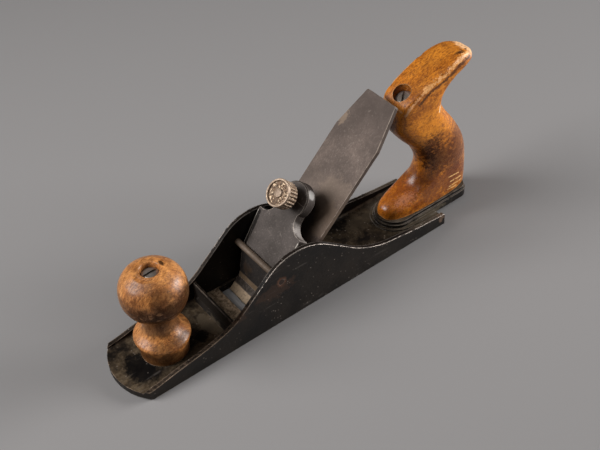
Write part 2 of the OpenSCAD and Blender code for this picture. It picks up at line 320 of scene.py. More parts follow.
class Graph:
    """Adds nodes to one tree and joins them."""

    def __init__(self, tree: bpy.types.NodeTree) -> None:
        """Keeps the tree that the nodes go in."""
        self.tree = tree

    def add(self, kind: str, **settings: object) -> bpy.types.Node:
        """Adds a node of a kind and sets its properties."""
        node = self.tree.nodes.new(kind)
        for key, value in settings.items():
            setattr(node, key, value)
        return node

    def feed(self, socket: bpy.types.NodeSocket, value: object) -> None:
        """Joins a value to a socket, or sets the socket's own value."""
        if isinstance(value, Value):
            self.tree.links.new(value.socket, socket)
        else:
            socket.default_value = value

    def made(self, kind: str, inputs: dict, output: object = 0, **settings: object) -> Value:
        """Adds a node, feeds inputs by name or number, and returns one output."""
        node = self.add(kind, **settings)
        for key, value in inputs.items():
            self.feed(node.inputs[key], value)
        return Value(self, node.outputs[output])

    def maths(self, operation: str, *values: object) -> Value:
        """One Math node on up to three values."""
        return self.made("ShaderNodeMath", dict(enumerate(values)), operation=operation)

    def vector(self, operation: str, *values: object, output: str = "Vector") -> Value:
        """One Vector Math node on up to three vectors."""
        return self.made("ShaderNodeVectorMath", dict(enumerate(values)), output,
                         operation=operation)

    def dot(self, first: object, second: object) -> Value:
        """Dot product of two vectors."""
        return self.vector("DOT_PRODUCT", first, second, output="Value")

    def length(self, vector: object) -> Value:
        """Length of a vector."""
        return self.vector("LENGTH", vector, output="Value")

    def scaled(self, vector: object, by: object) -> Value:
        """A vector times a value."""
        return self.made("ShaderNodeVectorMath", {0: vector, "Scale": by}, operation="SCALE")

    def light(self, colour: object) -> Value:
        """How light a colour is."""
        return self.dot(colour, (0.3, 0.6, 0.1))

    def blend(self, share: object, first: object, second: object) -> Value:
        """Mixes two colours by the second one's share."""
        first, second = ((*c, 1.0) if isinstance(c, tuple) else c for c in (first, second))
        return self.made("ShaderNodeMix", {0: share, 6: first, 7: second}, 2, data_type="RGBA")

    def layers(self, colour: object, *coats: tuple[object, object]) -> Value:
        """Lays coats of (share, colour) over a colour, the topmost last."""
        for share, over in coats:
            colour = self.blend(share, colour, over)
        return colour

    def span(self, value: object, low: float, high: float, to_low: float = 0.0,
             to_high: float = 1.0) -> Value:
        """Maps the span from low to high onto another, with soft ends."""
        parts = dict(enumerate((value, low, high, to_low, to_high)))
        return self.made("ShaderNodeMapRange", parts, interpolation_type="SMOOTHSTEP")

    def noise(self, vector: object, scale: object, detail: float = 4.0, rough: float = 0.55,
              twist: float = 0.0) -> Value:
        """A Noise Texture's plain value."""
        return self.made("ShaderNodeTexNoise", {
            "Vector": vector, "Scale": scale, "Detail": detail, "Roughness": rough,
            "Distortion": twist}, "Fac")

    def cells(self, vector: object, scale: object) -> Value:
        """Distance to the nearest of scattered points, from a Voronoi Texture."""
        return self.made("ShaderNodeTexVoronoi", {"Vector": vector, "Scale": scale}, "Distance")

    def placed(self, vector: object, turn: Triple, scale: Triple,
               move: Triple = (0.0, 0.0, 0.0)) -> Value:
        """Turns, stretches and moves coordinates with a Mapping node."""
        return self.made("ShaderNodeMapping", dict(enumerate((vector, move, turn, scale))))

    def rounded(self, radius: object) -> Value:
        """The normal with sharp edges shaded round."""
        return self.made("ShaderNodeBevel", {"Radius": radius}, samples=6)

    def normal(self) -> Value:
        """The plain normal."""
        return self.made("ShaderNodeNewGeometry", {}, "Normal")

    def axes(self, vector: object) -> list[Value]:
        """The three parts of a vector."""
        node = self.add("ShaderNodeSeparateXYZ")
        self.feed(node.inputs[0], vector)
        return [Value(self, socket) for socket in node.outputs]

    def use(self, group: bpy.types.NodeTree, **values: object) -> dict[str, Value]:
        """Places a node group, feeds its named inputs and returns its outputs by name."""
        node = self.add("ShaderNodeGroup", node_tree=group)
        for key, value in values.items():
            self.feed(node.inputs[key], value)
        return {socket.name: Value(self, socket) for socket in node.outputs}


def new_group(name: str, outputs: str, **inputs: object) -> tuple[Graph, dict[str, Value], object]:
    """Starts a node group that works on a Vector and gives plain values.

    Args:
        name: Name of the group.
        outputs: Names of the outputs, with spaces between them.
        inputs: Its other inputs with their usual values, where a tuple makes a vector.

    Returns:
        Its graph, its inputs by name, and its output node's sockets.
    """
    tree = bpy.data.node_groups.new(name, "ShaderNodeTree")
    inputs = {"Vector": (0.0, 0.0, 0.0), **inputs}
    for key, value in inputs.items():
        kind = "NodeSocketVector" if isinstance(value, tuple) else "NodeSocketFloat"
        socket = tree.interface.new_socket(key, in_out="INPUT", socket_type=kind)
        socket.default_value = value
    for key in outputs.split():
        tree.interface.new_socket(key, in_out="OUTPUT", socket_type="NodeSocketFloat")
    graph = Graph(tree)
    inside = graph.add("NodeGroupInput")
    outside = graph.add("NodeGroupOutput")
    return graph, {key: Value(graph, inside.outputs[key]) for key in inputs}, outside.inputs


class Effects:
    """Groups that several finishes share, built once."""

    def __init__(self) -> None:
        """Builds every group."""
        self.edge = self._edge()
        self.mottle = self._mottle()
        self.grain = self._grain()
        self.patch = self._patch()
        self.scratch = self._scratch()
        self.streak = self._streak()

    def _edge(self) -> bpy.types.NodeTree:
        """Worn edges: where the rounded normal leaves the plain one, broken up by noise."""
        g, i, out = new_group("edge_wear", "Mask", Radius=0.0006, Gain=6.0, Cover=0.5, Scale=260.0)
        turn = ((1.0 - g.dot(g.rounded(i["Radius"]), g.normal())) * i["Gain"]).held()
        broken = g.noise(i["Vector"], i["Scale"], 5.0, 0.65)
        share = ((broken - (1.0 - i["Cover"])) * 6.0 + 0.5).held()
        g.feed(out["Mask"], (turn * share).held())
        return g.tree

    def _mottle(self) -> bpy.types.NodeTree:
        """Uneven tone: a broad cloud, a finer one and small specks."""
        g, i, out = new_group("mottle", "Cloud Fine Speck", Scale=50.0, Contrast=1.0)
        at, scale = i["Vector"], i["Scale"]
        cloud = (g.noise(at, scale, 6.0, 0.6, 0.3) - 0.5) * i["Contrast"]
        rare = g.span(g.noise(at, scale * 3.0), 0.56, 0.66)
        g.feed(out["Cloud"], (cloud * 2.4 + 0.5).held())
        g.feed(out["Fine"], g.span(g.noise(at, scale * 9.0, 5.0, 0.65), 0.36, 0.66))
        g.feed(out["Speck"], g.span(g.cells(at, scale * 7.0), 0.16, 0.06) * rare)
        return g.tree

    def _grain(self) -> bpy.types.NodeTree:
        """Wood: broad figure, fine fibres, and the short dark flecks that beech shows."""
        g, i, out = new_group("beech_grain", "Figure Fibre Fleck Height", Figure=70.0, Fleck=620.0)
        at, size = i["Vector"], i["Figure"]
        shift = g.scaled(at, g.noise(at, 40.0, 2.0) * 0.1 + 1.0)
        fibre = g.noise(at, size * 11.0, 4.0, 0.7)
        fleck = g.span(g.cells(at, i["Fleck"]), 0.34, 0.18)
        g.feed(out["Figure"], g.span(g.noise(shift, size, 4.0, 0.55, 0.6), 0.3, 0.7))
        g.feed(out["Fibre"], g.span(fibre, 0.32, 0.68))
        g.feed(out["Fleck"], fleck)
        g.feed(out["Height"], fibre * 0.5 - fleck * 0.35)
        return g.tree

    def _patch(self) -> bpy.types.NodeTree:
        """A patch of colour for stains and for painted light and shade: full at a centre, gone past
        its reach, with a ragged outline.
        """
        g, i, out = new_group("patch", "Mask", Centre=(0.0, 0.0, 0.0), Reach=(0.01, 0.01, 0.01),
                              Ragged=0.6, Scale=180.0)
        away = g.vector("SUBTRACT", i["Vector"], i["Centre"])
        far = g.length(g.vector("DIVIDE", away, i["Reach"]))
        rough = (g.noise(i["Vector"], i["Scale"], 6.0, 0.7) - 0.5) * i["Ragged"] * 3.0
        g.feed(out["Mask"], g.span(far + rough, 1.1, 0.65))
        return g.tree

    def _scratch(self) -> bpy.types.NodeTree:
        """Thin lines in three directions, each broken where a noise is low."""
        g, i, out = new_group("scratches", "Mask", Scale=300.0, Cover=0.5)
        total: object = 0.0
        for index, turn in enumerate(((0.3, 0.5, 0.1), (0.9, 0.2, 1.3), (0.1, 1.2, 2.2))):
            lines = g.placed(i["Vector"], turn, (0.05, 1.0, 1.0), (0.01 * index, 0.0, 0.0))
            thin = g.span(g.noise(lines, i["Scale"], 2.0, 0.4), 0.66, 0.72)
            seen = g.span(g.noise(i["Vector"], 45.0 + 20 * index), 0.5, 0.62)
            total = (thin * seen + total).held()
        g.feed(out["Mask"], (total * i["Cover"]).held())
        return g.tree

    def _streak(self) -> bpy.types.NodeTree:
        """A mark along a straight line: full on it, gone past its width, ragged at its rim.

        Formula: with h = (p - a) . (b - a) / |b - a|^2 held between 0 and 1, the distance is
        |p - a - h (b - a)|.
        """
        g, i, out = new_group("streak", "Mask", From=(0.0, 0.0, 0.0), To=(0.0, 0.0, 0.0),
                              Width=0.001, Ragged=0.6, Scale=400.0)
        way = g.vector("SUBTRACT", i["Vector"], i["From"])
        line = g.vector("SUBTRACT", i["To"], i["From"])
        share = g.maths("DIVIDE", g.dot(way, line), g.dot(line, line)).held()
        gap = g.vector("SUBTRACT", way, g.scaled(line, share))
        far = g.maths("DIVIDE", g.length(gap), i["Width"])
        rough = (g.noise(i["Vector"], i["Scale"], 6.0, 0.7) - 0.5) * i["Ragged"] * 5.0
        g.feed(out["Mask"], g.span(far + rough, 1.15, 0.6))
        return g.tree


@dataclass
class Surface:
    """The parts of a material while a finish builds it."""

    material: bpy.types.Material
    graph: Graph
    shader: bpy.types.Node
    at: Value
    effects: Effects | None

    @classmethod
    def start(cls, name: str, effects: Effects | None = None) -> "Surface":
        """Makes an empty material with its shader and its object coordinates."""
        material = bpy.data.materials.new(name)
        material.use_nodes = True
        graph = Graph(material.node_tree)
        shader = material.node_tree.nodes["Principled BSDF"]
        return cls(material, graph, shader, graph.made("ShaderNodeTexCoord", {}, "Object"), effects)

    def mask(self, group: bpy.types.NodeTree, **values: object) -> Value:
        """The Mask of a shared group, laid in object coordinates."""
        return self.graph.use(group, Vector=self.at, **values)["Mask"]

    def worn(self, radius: float, wear: Wear, scale: float) -> Value:
        """The share of worn edges."""
        gain, cover = wear.value
        return self.mask(self.effects.edge, Radius=radius, Gain=gain, Cover=cover, Scale=scale)

    def marked(self, colour: object, marks: "tuple[ColourPatch | Streak, ...]") -> object:
        """Lays marks over a colour, the topmost last."""
        coats = [(mark.mask(self) * mark.strength, mark.colour) for mark in marks]
        return self.graph.layers(colour, *coats)

    def finish(self, colour: object, rough: object, height: object, depth: float,
               metal: object = 0.0, soft: float = 0.0) -> bpy.types.Material:
        """Feeds the shader.

        Args:
            colour: Base colour.
            rough: Roughness.
            height: Height of the bump, from 0 to 1.
            depth: Depth in metres that the height stands for.
            metal: Metallic share.
            soft: Radius in metres that sharp edges are shaded round with.

        Returns:
            The finished material.
        """
        bump = {"Strength": 1.0, "Distance": depth, "Height": height}
        if soft:
            bump["Normal"] = self.graph.rounded(soft)
        for name, value in (("Base Color", colour), ("Roughness", rough), ("Metallic", metal),
                            ("Normal", self.graph.made("ShaderNodeBump", bump))):
            self.graph.feed(self.shader.inputs[name], value)
        return self.material


@dataclass(frozen=True)
class ColourPatch:
    """A patch of colour, for real stains and for painted light and shade: its centre and reach in
    metres, colour, strength, ragged rim and its scale.
    """

    centre: Triple
    reach: Triple
    colour: Colour
    strength: float
    ragged: float
    scale: float = 220.0

    def mask(self, s: Surface) -> Value:
        """Its share of a surface."""
        return s.mask(s.effects.patch, Centre=self.centre, Reach=self.reach, Ragged=self.ragged,
                      Scale=self.scale)


@dataclass(frozen=True)
class Streak:
    """A mark along a line: its corners and half width in metres, then as for a stain."""

    line: tuple[Triple, ...]
    width: float
    colour: Colour
    strength: float
    ragged: float
    scale: float

    def mask(self, s: Surface) -> Value:
        """Its share of a surface."""
        total: object = 0.0
        for start, end in zip(self.line, self.line[1:]):
            part = s.mask(s.effects.streak, From=start, To=end, Width=self.width,
                          Ragged=self.ragged, Scale=self.scale)
            total = s.graph.maths("MAXIMUM", total, part)
        return total


def milli(values: object) -> object:
    """Thousandths of a number, or of all numbers in nested tuples."""
    return tuple(map(milli, values)) if isinstance(values, tuple) else values * 0.001


def marks(kind: type, *rows: tuple) -> tuple:
    """Makes marks of one kind from rows.

    Args:
        kind: Stain or Streak.
        rows: Places and sizes in millimetres and the colour in thousandths, then the rest.

    Returns:
        The marks in the same order.
    """
    return tuple(kind(*milli(row[:3]), *row[3:]) for row in rows)


# Finishes


@dataclass(frozen=True)
class Japanning:
    """Black baked paint on cast iron: worn to brown and bare metal, with old dirt inside.

    The pairs name where an area begins to show and where it is full, in metres.
    """

    black: Colour = (0.0060, 0.0050, 0.0045)
    brown: Colour = (0.022, 0.0145, 0.0095)
    dirt: Colour = (0.056, 0.037, 0.021)
    bare: Colour = (0.50, 0.43, 0.38)
    floor_z: Pair = (0.0155, 0.0115)
    inside_y: Pair = (0.0217, 0.0211)
    front_x: Pair = (-0.028, -0.034)
    ledge_x: Pair = (-0.0475, -0.0468)
    ledge_end_x: Pair = (-0.0332, -0.0336)
    rail_x: Pair = (-0.028, -0.040)
    rail_y: Pair = (0.0205, 0.0212)
    pad_x: Pair = (0.084, 0.090)
    pad_z: Pair = (0.012, 0.0105)
    rib_x: float = -0.0490
    stains_and_painted_light: tuple[ColourPatch, ...] = marks(
        ColourPatch,
        ((-52, -24.3, 26), (12, 4, 5), (85, 42, 24), 0.3, 0.9),
        ((-20, -24.3, 30), (14, 4, 7), (85, 42, 24), 0.25, 0.9),
        ((112, -14.5, 5.6), (22, 7.5, 3), (105, 82, 54), 0.65, 0.8, 200.0),
        ((75, 10, 5.6), (16, 9, 3), (85, 63, 42), 0.5, 0.9),
        ((117.5, -24.3, 8.5), (3, 3, 5), (160, 100, 66), 0.7, 1.2, 400.0),
        # painted light: lightens the front floor where it lies in shade
        ((-55, -2, 5.6), (7, 12, 3), (130, 98, 66), 0.6, 0.9, 200.0),
        ((-105, -4, 5.6), (10, 14, 3), (3, 2.5, 2.5), 0.95, 0.5),
        ((-70, -17, 5.6), (16, 4.5, 3), (105, 80, 55), 0.75, 0.9, 200.0),
        ((-64, -7, 5.6), (5, 5, 3), (5, 4, 4), 0.85, 0.7))
    seam: tuple[Streak, ...] = marks(
        Streak, (((66, 21.2, 5.8), (112, 21.2, 5.8)), 1.2, (150, 115, 75), 0.6, 0.7, 200.0))
    rod_rust: tuple[ColourPatch, ...] = marks(
        ColourPatch, ((-15, -24.3, 34.4), (4.2, 3, 4.2), (90, 40, 22), 0.85, 0.5))

    def material(self, effects: Effects) -> bpy.types.Material:
        """Builds the paint.

        Args:
            effects: The shared groups.

        Returns:
            The material.
        """
        s = Surface.start("japanned_iron", effects)
        g = s.graph
        tone = g.use(effects.mottle, Vector=s.at, Scale=38.0, Contrast=1.3)
        x, y, z = g.axes(s.at)
        away = abs(y)
        upward = g.span(g.axes(g.normal())[2], 0.5, 0.8)
        grit = g.noise(s.at, 520.0, 6.0, 0.7)
        floor = g.span(z, *self.floor_z) * g.span(away, *self.inside_y) * upward
        dirty = g.span(g.noise(s.at, 75.0, 6.0, 0.62, 0.4), 0.36, 0.6)
        share = floor * dirty * (g.span(x, *self.front_x) * 0.25 + 0.7)
        earth = g.blend(g.span(grit, 0.35, 0.7), self.dirt, (0.12, 0.088, 0.056))
        ledge = g.span(x, *self.ledge_x) * g.span(x, *self.ledge_end_x) * floor * 0.85
        sand = g.blend(g.span(grit, 0.36, 0.64), (0.10, 0.068, 0.042), (0.36, 0.26, 0.175))
        rail = g.span(x, *self.rail_x) * g.span(away, *self.rail_y) * upward
        rail = rail * g.span(grit, 0.42, 0.6) * g.span(y, 0.004, -0.004, 0.2, 0.55)
        pad = g.span(x, *self.pad_x) * upward * g.span(z, *self.pad_z)
        colour = g.layers(
            self.black, (tone["Cloud"] * 0.55, self.brown), (share, earth), (ledge, sand),
            (rail, (0.10, 0.068, 0.046)),
            (pad * g.span(grit, 0.25, 0.7, 0.35, 0.9), (0.085, 0.066, 0.048)))
        dust = g.span(g.cells(s.at, 380.0), 0.2, 0.1) * g.span(g.noise(s.at, 150.0), 0.48, 0.6)
        rub = self.rubbed(s)
        metal = g.blend(g.span(x, -0.050, -0.030), (0.38, 0.28, 0.205), self.bare)
        colour = g.layers(
            s.marked(colour, self.stains_and_painted_light + self.seam), (tone["Speck"] * 0.6, (0.24, 0.19, 0.155)),
            (dust * 0.5, (0.28, 0.235, 0.20)), (rub, metal))
        scar = s.mask(effects.scratch, Scale=420.0, Cover=0.35)
        colour = g.blend(scar, s.marked(colour, self.rod_rust), (0.1, 0.085, 0.075))
        rough = (g.span(tone["Cloud"], 0.2, 0.9, 0.4, 0.6) + share * 0.25).held()
        g.feed(s.shader.inputs["Specular IOR Level"], 0.26 - upward * 0.2)
        height = g.noise(s.at, 420.0, 5.0, 0.6) * 0.7 + g.noise(s.at, 90.0, 3.0) * 0.9
        return s.finish(colour, rough, height - rub * 0.1, 0.00016, rub * 0.7, 0.0005)

    def rubbed(self, s: Surface) -> Value:
        """Where the paint is rubbed off: the upper arrises of the cheeks, and sharp edges.

        Formula: an arris is where the normal leans sideways but not fully, so |ny| lies
        between a flat top's 0 and a side's 1; only the outer one of each cheek is worn bright.

        Args:
            s: The material's parts.

        Returns:
            The share of bare metal.
        """
        g = s.graph
        x, y, z = g.axes(s.at)
        facing = g.axes(g.rounded(0.0011))
        lean = abs(facing[1])
        arris = g.span(lean, 0.12, 0.4) * g.span(lean, 0.96, 0.8) * g.span(facing[2], 0.08, 0.3)
        outer = g.span(abs(y), 0.0226, 0.0236) * 0.75 + 0.25
        back = g.span(x, -0.036, -0.020) * 0.3 + 0.7
        broken = g.span(g.noise(s.at, 210.0, 5.0, 0.65), 0.36, 0.52)
        arris = arris * outer * back * broken * g.span(z, 0.004, 0.010)
        rib = g.span(abs(x - self.rib_x), 0.0022, 0.0016)
        share = g.maths("MAXIMUM", rib, g.span(x, -0.088, -0.095))
        edge = s.worn(0.0006, Wear.MEDIUM, 190.0) * (share * 0.8 + 0.3)
        return g.maths("MAXIMUM", arris, edge)


@dataclass(frozen=True)
class Beech:
    """Beech under an old brown varnish, rubbed pale on its edges and dark where hands stain it; its
    marks also hold painted shade and highlights.
    """

    name: str
    pale: Colour
    body: Colour
    dark: Colour
    fibres: Axis
    centre: Triple
    marks: tuple[ColourPatch | Streak, ...]
    turn: Triple = (0.0, 0.0, 0.0)
    rings: float = 0.0
    fleck: float = 0.7
    polish: float = 0.0
    coat: float = 0.05

    def material(self, effects: Effects) -> bpy.types.Material:
        """Builds the wood.

        Args:
            effects: The shared groups.

        Returns:
            The material.
        """
        s = Surface.start(self.name, effects)
        g = s.graph
        moved = g.vector("SUBTRACT", s.at, self.centre)
        along = g.placed(moved, self.turn, self.fibres.value)
        wood = g.use(effects.grain, Vector=along, Figure=95.0, Fleck=900.0)
        tone = g.use(effects.mottle, Vector=s.at, Scale=70.0, Contrast=1.7)
        worn = g.span(g.noise(s.at, 130.0, 5.0, 0.65), 0.55, 0.68)
        streaky = g.placed(s.at, self.turn, (0.4, 1.0, 0.4))
        pores = g.noise(streaky, 1500.0, 4.0, 0.75)
        flakes = g.noise(streaky, 720.0, 3.0, 0.8)
        pits = tone["Speck"] * 0.8
        colour = g.layers(
            self.body, (wood["Figure"], self.pale), (tone["Cloud"] * 0.62, self.dark),
            (worn * 0.4, self.pale), (wood["Fibre"] * 0.4, self.dark),
            (wood["Fleck"] * self.fleck, self.dark), (g.span(pores, 0.53, 0.62) * 0.55, self.dark),
            (g.span(pores, 0.47, 0.38) * 0.35, self.pale),
            (g.span(flakes, 0.46, 0.36) * 0.4, self.pale))
        colour = g.layers(
            s.marked(colour, self.marks), (g.span(flakes, 0.52, 0.64) * 0.5, self.dark),
            (s.worn(0.0011, Wear.WOOD, 240.0) * 0.6, (0.62, 0.36, 0.17)),
            (s.mask(effects.scratch, Scale=380.0, Cover=0.4), self.pale),
            (pits, (0.03, 0.014, 0.007)))
        shiny = g.span(g.axes(s.at)[2], 0.055, 0.035) * self.polish
        rough = g.span(tone["Fine"], 0.0, 1.0, 0.34, 0.5) - shiny * 0.1
        height = wood["Height"] * 0.8 + tone["Cloud"] * 0.4 - pits * 0.8
        if self.rings:
            out = g.length(g.vector("MULTIPLY", moved, (1.0, 1.0, 0.0)))
            wave = g.maths("SINE", out * self.rings)
            height = height + wave * (g.span(out, 0.0125, 0.0085) * 0.16)
        clean = g.span(g.light(colour), 0.015, 0.090, 0.25, 1.0)
        for name, value in (("Coat Weight", (shiny * 0.45 + self.coat) * clean),
                            ("Coat Roughness", 0.3), ("Specular IOR Level", clean * 0.28)):
            g.feed(s.shader.inputs[name], value)
        return s.finish(colour, rough, height, 0.00013)


@dataclass(frozen=True)
class Band:
    """A stripe across the bed: start and end up the bed in metres, colour, strength, softness."""

    start: float
    end: float
    colour: Colour
    strength: float
    soft: float = 0.0003


@dataclass(frozen=True)
class Steel:
    """Bare metal with its own patina, marks along one direction and brighter rubbed edges."""

    name: str
    bright: Colour
    patina: Colour
    edge: Colour
    metal: float
    rough: float
    brush: Triple = (1.0, 1.0, 1.0)
    turn: Triple = (0.0, 0.0, 0.0)
    wear: Wear = Wear.MEDIUM
    radius: float = 0.0004
    marks: tuple[ColourPatch | Streak, ...] = ()
    bands: tuple[Band, ...] = ()
    side: Colour | None = None
    side_end: float = 0.0
    marking: float = 0.3
    contrast: float = 1.2
    scars: float = 1.0

    def material(self, effects: Effects) -> bpy.types.Material:
        """Builds the metal.

        Args:
            effects: The shared groups.

        Returns:
            The material.
        """
        s = Surface.start(self.name, effects)
        g = s.graph
        tone = g.use(effects.mottle, Vector=s.at, Scale=55.0, Contrast=self.contrast)
        cloud = tone["Cloud"]
        ground = g.noise(g.placed(s.at, self.turn, self.brush), 700.0, 4.0, 0.7)
        softer = tuple(0.25 + 0.75 * part for part in self.brush)
        grain = g.noise(g.placed(s.at, self.turn, softer), 950.0, 4.0, 0.8)
        colour = g.layers(
            self.bright, (cloud, self.patina),
            (g.span(ground, 0.35, 0.7) * self.marking, self.patina),
            (tone["Fine"] * 0.25, self.patina),
            (g.span(grain, 0.5, 0.62) * self.marking, self.patina),
            (g.span(grain, 0.46, 0.34) * (self.marking * 0.35), self.edge))
        pits = tone["Speck"] * 0.7
        rub = s.worn(self.radius, self.wear, 320.0)
        scar = s.mask(effects.scratch, Scale=520.0, Cover=0.35) * self.scars
        colour = g.layers(s.marked(self.striped(s, colour), self.marks),
                          (pits, (0.035, 0.022, 0.014)), (rub, self.edge), (scar, self.edge))
        rough = (cloud * 0.22 + (self.rough - 0.1) - rub * 0.12).held()
        metal = (self.metal - cloud * 0.2).held()
        gloss = g.span(g.light(colour), 0.010, 0.030, 0.1, 0.5)
        g.feed(s.shader.inputs["Specular IOR Level"], gloss)
        height = ground * 0.35 + cloud * 0.5 - pits
        return s.finish(colour, rough, height, 0.00005, metal, 0.0003)

    def striped(self, s: Surface, colour: object) -> object:
        """Lays the bands over a colour.

        Formula: the distance up the bed is the dot product of the bed's direction with the
        way from the cutting edge; each band fades in and out over its softness.

        Args:
            s: The material's parts.
            colour: The colour below.

        Returns:
            The colour with the bands.
        """
        g = s.graph
        if not self.bands:
            return colour
        way = g.vector("SUBTRACT", s.at, bed_line([[0.0, 0.0, 0.0]])[0])
        up = g.dot(way, BED_ALONG) + (g.noise(s.at, 260.0) - 0.5) * 0.0012
        if self.side:
            across = g.span(abs(g.axes(g.normal())[1]), 0.2, 0.4)
            across = across * g.span(up, self.side_end, self.side_end - 0.003)
            colour = g.blend(across * 0.85, colour, self.side)
        grit = g.span(g.noise(s.at, 620.0, 5.0, 0.7), 0.32, 0.56, 0.45, 1.0)
        for band in self.bands:
            on = g.span(up, band.start - band.soft, band.start + band.soft)
            on = on * g.span(up, band.end + band.soft, band.end - band.soft)
            colour = g.blend(on * grit * band.strength, colour, band.colour)
        return colour


@dataclass(frozen=True)
class FlutedMetal(Steel):
    """Metal of the thumb screw: bright on its rim, ridges and beads, darker between them, with
    painted glints.
    """

    reach: Pair = (0.00815, 0.0086)
    rise: Pair = (0.03395, 0.03435)

    def striped(self, s: Surface, colour: object) -> object:
        """Brightens what stands high and darkens the rest.

        Formula: a point is high if its distance from the screw's axis or its distance out of
        the bed passes a limit; below both, a darker colour takes over. Small glints are painted
        highlights.

        Args:
            s: The material's parts.
            colour: The colour below.

        Returns:
            The colour with bright and dark parts.
        """
        g = s.graph
        way = g.vector("SUBTRACT", s.at, bed_line([[SCREW_UP_MM, 0.0, 0.0]])[0])
        out = g.dot(way, BED_NORMAL)
        far = g.length(g.vector("SUBTRACT", way, g.scaled(BED_NORMAL, out)))
        high = g.maths("MAXIMUM", g.span(far, *self.reach), g.span(out, *self.rise))
        rough = g.span(g.noise(s.at, 700.0, 5.0, 0.7), 0.3, 0.6)
        # painted highlight: small glints over the face
        glint = g.span(g.noise(s.at, 800.0, 3.0, 0.6), 0.56, 0.62)
        recess_colour = g.blend(rough, (0.018, 0.010, 0.005), (0.12, 0.060, 0.024))
        return g.layers(colour, ((0.9 - high).held(), recess_colour), (glint * 0.85, (0.66, 0.50, 0.33)),
                        (high * (rough * 0.6 + 0.25), self.edge))


# Pieces


def dress(node: str, material: bpy.types.Material) -> None:
    """Gives a solid of the frame its finish.

    Args:
        node: Name of the node.
        material: The finish.
    """
    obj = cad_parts[node]
    for slot in obj.material_slots:
        slot.material = material
    LOG.info("dressed %s with %s", node, material.name)


@dataclass
class TurnedKnob:
    """Front knob: a foot with a hollow upper side, a neck and a flattened ball."""

    station_mm: float = 25.2
    base_mm: float = 6.5
    ball_mm: float = 20.05
    rim_mm: float = 17.15
    height_mm: float = 66.6
    around: int = 176
    side_rows: int = 135
    dents: int = 46
    seed: int = 11

    def profile(self) -> Points:
        """Radius and height of the whole turned form, its bore and dish included."""
        b, r, h = self.ball_mm, self.rim_mm, self.height_mm
        crown = h - b * 0.82
        outer = smooth_line([
            [r - 2.4, 0], [r - 2.1, 4.5], [r - 1.1, 9.4], [r - 0.2, 12.6], [r, 13.9],
            [r - 0.6, 15.1], [r - 2.4, 16.7], [r - 5.0, 19.2], [r - 7.0, 22.8], [r - 7.8, 27.2],
            [b * 0.52, crown - 17.6], [b * 0.8, crown - 12], [b * 0.96, crown - 5.8],
            [b, crown + 0.4], [b * 0.95, crown + 6.4], [b * 0.79, crown + 11.8],
            [b * 0.52, crown + 15.6]], 9)
        dish = smooth_line([[b * 0.52, crown + 15.6], [8.2, h - 0.55], [6.9, h - 0.12],
                            [6.2, h - 0.25], [5.75, h - 0.9]], 5)[1:]
        bore = [[5.62, h - 2.4], [5.6, h - 5.9], [4.1, h - 5.9], [4.1, h - 20], [3.1, h - 20],
                [3.1, 0.0], [r - 3.2, 0.0], [r - 2.8, 0.05]]
        return np.vstack([outer, dish, bore])

    def build(self) -> bpy.types.Object:
        """Makes the knob's mesh with its small dents, on its sides and its foot.

        Returns:
            The knob, standing for its node.
        """
        profile = self.profile()
        points = revolve(profile, self.around)
        rows, count = len(profile), self.dents
        normals = outward(points, rows, self.around)
        rng = np.random.default_rng(self.seed)
        angle = rng.uniform(0, 2 * math.pi, count)
        high = np.where(rng.random(count) < 0.6, rng.uniform(38, 64, count),
                        rng.uniform(6, 18, count))
        ring = np.interp(high, profile[: self.side_rows, 1], profile[: self.side_rows, 0])
        centres = np.stack([ring * np.cos(angle), ring * np.sin(angle), high], -1)
        points = press_in(points, normals, centres, rng.uniform(0.5, 1.9, count),
                          rng.uniform(0.03, 0.14, count))
        points = to_frame(points + [self.station_mm, 0.0, self.base_mm])
        obj = make_mesh("turned_knob", points, grid_quads(rows, self.around, True))
        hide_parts("front_knob")
        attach(obj, "plane_body")
        LOG.info("built %s", obj.name)
        return obj

    def finish(self) -> Beech:
        """The knob's wood, with painted shade under the ball, round the neck, on the foot's lower
        band and on the ball's near side.
        """
        x = self.station_mm - MIDDLE_MM
        # colour of the painted shade on the neck and the foot
        deep = (30, 14, 6)
        return Beech(
            "knob_beech", (0.76, 0.33, 0.100), (0.48, 0.165, 0.036), (0.10, 0.032, 0.009),
            Axis.UPRIGHT, (x * MM, 0.0, 0.05), rings=5200.0, fleck=0.35, coat=0.16,
            marks=marks(
                ColourPatch,
                # painted shade: the ball's lower half, darkest on its near side
                ((x, 0, 50), (50, 50, 15), (34, 12, 4), 0.55, 0.6, 80.0),
                ((x + 4, -10, 53), (26, 30, 11), (16, 6, 2), 0.8, 0.5, 120.0),
                # painted shade: the neck, the foot's lower band and the foot's near side under the
                # ball
                ((x, 0, 33), (20, 20, 8), deep, 0.72, 0.45, 150.0),
                ((x, 0, 8.5), (50, 50, 11), deep, 0.74, 0.4, 160.0),
                ((x, -12, 22), (14, 7, 4), deep, 0.55, 0.7, 200.0),
                # painted shade on the ball's near side
                ((x - 4, -16, 66), (8, 6, 6), (50, 20, 8), 0.6, 0.8, 160.0),
                ((x + 8.1, 0.3, 72.6), (1.4, 2.8, 2), (12, 6, 3), 0.9, 0.4, 500.0)))


